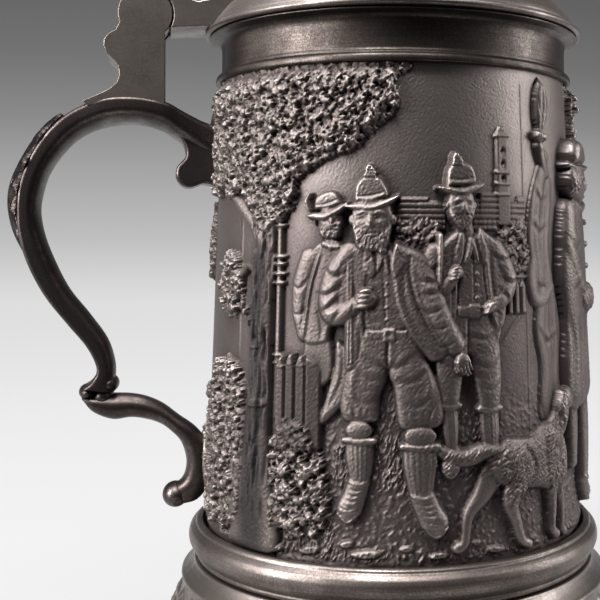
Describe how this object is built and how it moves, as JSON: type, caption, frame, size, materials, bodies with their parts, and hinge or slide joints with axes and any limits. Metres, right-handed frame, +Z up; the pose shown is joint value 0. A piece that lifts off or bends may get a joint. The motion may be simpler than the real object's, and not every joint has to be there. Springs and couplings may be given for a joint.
{
  "type": "lidded tankard",
  "caption": "Cast pewter drinking tankard with a relief-decorated tapered barrel, scrolled handle and hinged domed lid with a thumbpiece.",
  "frame": {"origin": "under the middle of the object's bounding box, on the plane it stands on", "axes": "+Z up along the barrel; the handle and hinge point along -X; the hinge pin lies along Y"},
  "size_m": [0.1454, 0.113, 0.1967],
  "materials": {
    "relief_pewter": "antiqued cast pewter, dark in the recesses and rubbed on the high parts",
    "spun_pewter": "satin spun pewter",
    "cast_pewter": "smooth cast pewter, softly polished",
    "pin_steel": "drawn steel"
  },
  "bodies": {
    "tankard_body": {"foot": "relief_pewter", "base_ring": "spun_pewter", "barrel": "relief_pewter", "floor_disc": "spun_pewter", "rim_collar": "spun_pewter", "handle_bow": "cast_pewter", "handle_lower_scroll": "cast_pewter", "upper_handle_joint": "cast_pewter", "lower_handle_joint": "cast_pewter", "hinge_pin": "pin_steel", "hinge_pin_plug": "cast_pewter"},
    "lid": {"lid_shell": "spun_pewter", "lid_locating_ring": "spun_pewter", "lid_arm": "cast_pewter", "thumbpiece": "cast_pewter", "lid_finial": "cast_pewter", "finial_nut": "spun_pewter"}
  },
  "joints": [
    {"name": "lid_hinge", "type": "hinge", "parent": "tankard_body", "child": "lid", "pos_m": [-0.04185, 0, 0.1445], "axis": [0, -1, 0], "range_deg": [0, 100]}
  ]
}
